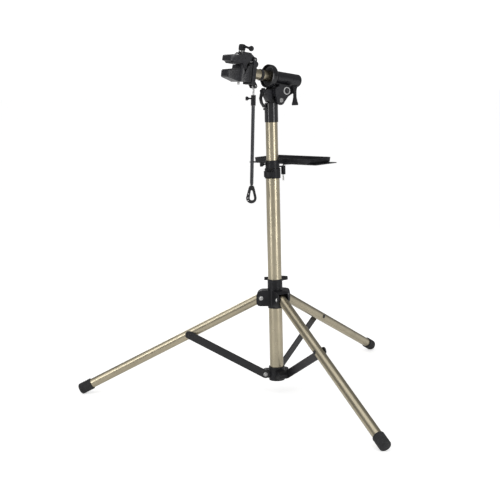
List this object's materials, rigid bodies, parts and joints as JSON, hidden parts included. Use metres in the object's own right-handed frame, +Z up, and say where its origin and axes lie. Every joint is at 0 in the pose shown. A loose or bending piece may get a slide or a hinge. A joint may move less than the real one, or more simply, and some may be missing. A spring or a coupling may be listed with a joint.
{
  "type": "bicycle repair stand",
  "caption": "Folding tripod work stand with a telescopic mast, a tool tray, a tilting clamp head and a hanging handlebar rod.",
  "frame": {"origin": "middle of the footprint on the floor", "axes": "+Z up; -X towards the single leg, so the mast stands at +X; +Y to the right of someone looking along -X"},
  "size_m": [0.9174, 1.0546, 1.0296],
  "materials": {
    "gold_tube": "satin anodised",
    "black_plastic": "satin moulded",
    "black_casting": "black powder coat",
    "black_strut": "black powder coat",
    "rubber": "matte",
    "steel": "polished",
    "dark_tube": "dark grey satin"
  },
  "bodies": {
    "mast": {"lower_mast_tube": "gold_tube", "base_collar": "black_plastic", "height_clamp": "black_plastic", "height_clamp_bolt": "steel", "tray_collar": "black_plastic"},
    "hub": {"hub": "black_plastic", "hub_clamp_bolt": "black_plastic", "leg_rivet_left": "steel", "leg_rivet_front": "steel", "leg_rivet_rear": "steel"},
    "leg_left": {"leg_tube_left": "gold_tube", "foot_left": "rubber", "strut_rivet_left": "black_strut"},
    "leg_front": {"leg_tube_front": "gold_tube", "foot_front": "rubber", "strut_rivet_front": "black_strut"},
    "leg_rear": {"leg_tube_rear": "gold_tube", "foot_rear": "rubber", "strut_rivet_rear": "black_strut"},
    "strut_left": {"strut_left": "black_strut"},
    "strut_front": {"strut_front": "black_strut"},
    "strut_rear": {"strut_rear": "black_strut"},
    "hub_lever": {"hub_lever": "black_plastic"},
    "height_lever": {"height_lever": "black_plastic"},
    "glide": {"glide_bush": "black_plastic"},
    "post": {"upper_mast_tube": "gold_tube", "fork_sleeve": "black_plastic", "fold_pin": "steel"},
    "head": {"head_casting": "black_casting", "bell_ring": "black_plastic", "head_bush": "black_plastic", "rear_cap": "black_plastic", "head_badge": "steel", "lock_bolt": "steel"},
    "latch": {"latch_lever": "black_plastic"},
    "lock_lever": {"lock_lever": "black_plastic"},
    "clamp": {"clamp_tube": "gold_tube", "tube_band": "rubber", "clamp_plate": "black_casting", "clamp_spacer": "rubber", "lower_jaw": "black_casting", "lower_pad": "rubber", "jaw_pin": "steel", "rod_hinge_pin": "steel"},
    "screw_carrier": {"thrust_washer": "steel"},
    "crank": {"crank_screw": "steel", "crank_handle": "black_plastic", "crank_ball": "black_plastic"},
    "upper_jaw": {"upper_jaw": "black_casting", "upper_pad": "rubber"},
    "tension_knob": {"tension_knob": "black_plastic"},
    "rod": {"rod_shaft": "steel"},
    "rod_tube": {"rod_tube": "dark_tube", "rod_collar": "black_plastic", "rod_strap": "rubber"},
    "rod_thumbscrew": {"rod_thumbscrew": "black_plastic"},
    "tray": {"tray_pan": "black_plastic", "tool_plate": "black_strut", "tray_pin": "steel"},
    "tray_thumbscrew": {"tray_thumbscrew": "black_plastic"}
  },
  "joints": [
    {"name": "hub_slide", "type": "slide", "parent": "mast", "child": "hub", "axis": [0, 0, 1], "range_m": [0, 0.26703]},
    {"name": "leg_fold_left", "type": "hinge", "parent": "hub", "child": "leg_left", "pos_m": [0.105, 0, 0.292], "axis": [0, -1, 0], "range_deg": [0, 60.81]},
    {"name": "strut_fold_left", "type": "hinge", "parent": "leg_left", "child": "strut_left", "pos_m": [-0.11209, 0, 0.18282], "axis": [0, 1, 0], "range_deg": [0, 118.22]},
    {"name": "leg_fold_front", "type": "hinge", "parent": "hub", "child": "leg_front", "pos_m": [0.1665, -0.03551, 0.292], "axis": [0.866, 0.5, 0], "range_deg": [0, 60.81]},
    {"name": "strut_fold_front", "type": "hinge", "parent": "leg_front", "child": "strut_front", "pos_m": [0.27504, -0.22351, 0.18282], "axis": [-0.866, -0.5, 0], "range_deg": [0, 118.22]},
    {"name": "leg_fold_rear", "type": "hinge", "parent": "hub", "child": "leg_rear", "pos_m": [0.1665, 0.03551, 0.292], "axis": [-0.866, 0.5, 0], "range_deg": [0, 60.81]},
    {"name": "strut_fold_rear", "type": "hinge", "parent": "leg_rear", "child": "strut_rear", "pos_m": [0.27504, 0.22351, 0.18282], "axis": [0.866, -0.5, 0], "range_deg": [0, 118.22]},
    {"name": "hub_lever_open", "type": "hinge", "parent": "hub", "child": "hub_lever", "pos_m": [0.165, 0.028, 0.343], "axis": [0, 0, 1], "range_deg": [-75, 0]},
    {"name": "height_lever_open", "type": "hinge", "parent": "mast", "child": "height_lever", "pos_m": [0.12912, -0.02663, 0.6595], "axis": [0, 0, 1], "range_deg": [-75, 0]},
    {"name": "height_slide", "type": "slide", "parent": "mast", "child": "glide", "axis": [0, 0, 1], "range_m": [-0.06, 0.4]},
    {"name": "mast_swivel", "type": "hinge", "parent": "glide", "child": "post", "pos_m": [0.146, 0, 0.5], "axis": [0, 0, 1], "range_deg": [-90, 90]},
    {"name": "head_fold", "type": "hinge", "parent": "post", "child": "head", "pos_m": [0.15921, 0.0107, 0.869], "axis": [-0.6293, 0.7771, 0], "range_deg": [0, 90]},
    {"name": "latch_open", "type": "hinge", "parent": "head", "child": "latch", "pos_m": [0.12502, -0.01699, 0.897], "axis": [-0.6293, 0.7771, 0], "range_deg": [0, 22]},
    {"name": "clamp_turn", "type": "hinge", "parent": "head", "child": "clamp", "pos_m": [0.146, 0, 0.9365], "axis": [-0.7676, -0.6216, 0.1564], "continuous": true},
    {"name": "lock_lever_open", "type": "hinge", "parent": "head", "child": "lock_lever", "pos_m": [0.21277, 0.01289, 0.905], "axis": [-0.7771, -0.6293, 0], "range_deg": [0, 110]},
    {"name": "screw_lift", "type": "slide", "parent": "clamp", "child": "screw_carrier", "axis": [0.1216, 0.0984, 0.9877], "range_m": [0, 0.01334]},
    {"name": "crank_turn", "type": "hinge", "parent": "screw_carrier", "child": "crank", "pos_m": [0.06967, -0.06181, 1.00673], "axis": [0.1216, 0.0984, 0.9877], "range_deg": [0, 1200]},
    {"name": "jaw_open", "type": "hinge", "parent": "clamp", "child": "upper_jaw", "pos_m": [0.09535, -0.04101, 0.9853], "axis": [-0.6293, 0.7771, 0], "range_deg": [0, 20.01]},
    {"name": "tension_turn", "type": "hinge", "parent": "clamp", "child": "tension_knob", "pos_m": [0.10473, -0.04628, 0.97201], "axis": [-0.7676, -0.6216, 0.1564], "range_deg": [-180, 180]},
    {"name": "rod_swing", "type": "hinge", "parent": "clamp", "child": "rod", "pos_m": [0.09937, -0.03776, 0.911], "axis": [-0.6293, 0.7771, 0], "range_deg": [-6, 57]},
    {"name": "rod_extend", "type": "slide", "parent": "rod", "child": "rod_tube", "axis": [-0.042, -0.034, -0.9985], "range_m": [-0.015, 0.17]},
    {"name": "rod_screw_turn", "type": "hinge", "parent": "rod_tube", "child": "rod_thumbscrew", "pos_m": [0.0979, -0.03895, 0.87605], "axis": [-0.9977, -0.0516, 0.0438], "range_deg": [-180, 180]},
    {"name": "tray_lift", "type": "slide", "parent": "mast", "child": "tray", "axis": [0, 0, 1], "range_m": [0, 0.05]},
    {"name": "tray_screw_turn", "type": "hinge", "parent": "mast", "child": "tray_thumbscrew", "pos_m": [0.12237, -0.00417, 0.686], "axis": [-0.9848, -0.1736, 0], "range_deg": [-180, 180]}
  ],
  "couplings": [
    {"joint": "leg_fold_left", "follows": "hub_slide", "rad_per_m": 3.9739},
    {"joint": "strut_fold_left", "follows": "hub_slide", "rad_per_m": 7.7263},
    {"joint": "leg_fold_front", "follows": "hub_slide", "rad_per_m": 3.9739},
    {"joint": "strut_fold_front", "follows": "hub_slide", "rad_per_m": 7.7263},
    {"joint": "leg_fold_rear", "follows": "hub_slide", "rad_per_m": 3.9739},
    {"joint": "strut_fold_rear", "follows": "hub_slide", "rad_per_m": 7.7263},
    {"joint": "screw_lift", "follows": "crank_turn", "m_per_rad": 0.00063662},
    {"joint": "jaw_open", "follows": "crank_turn", "ratio": 0.016667}
  ]
}
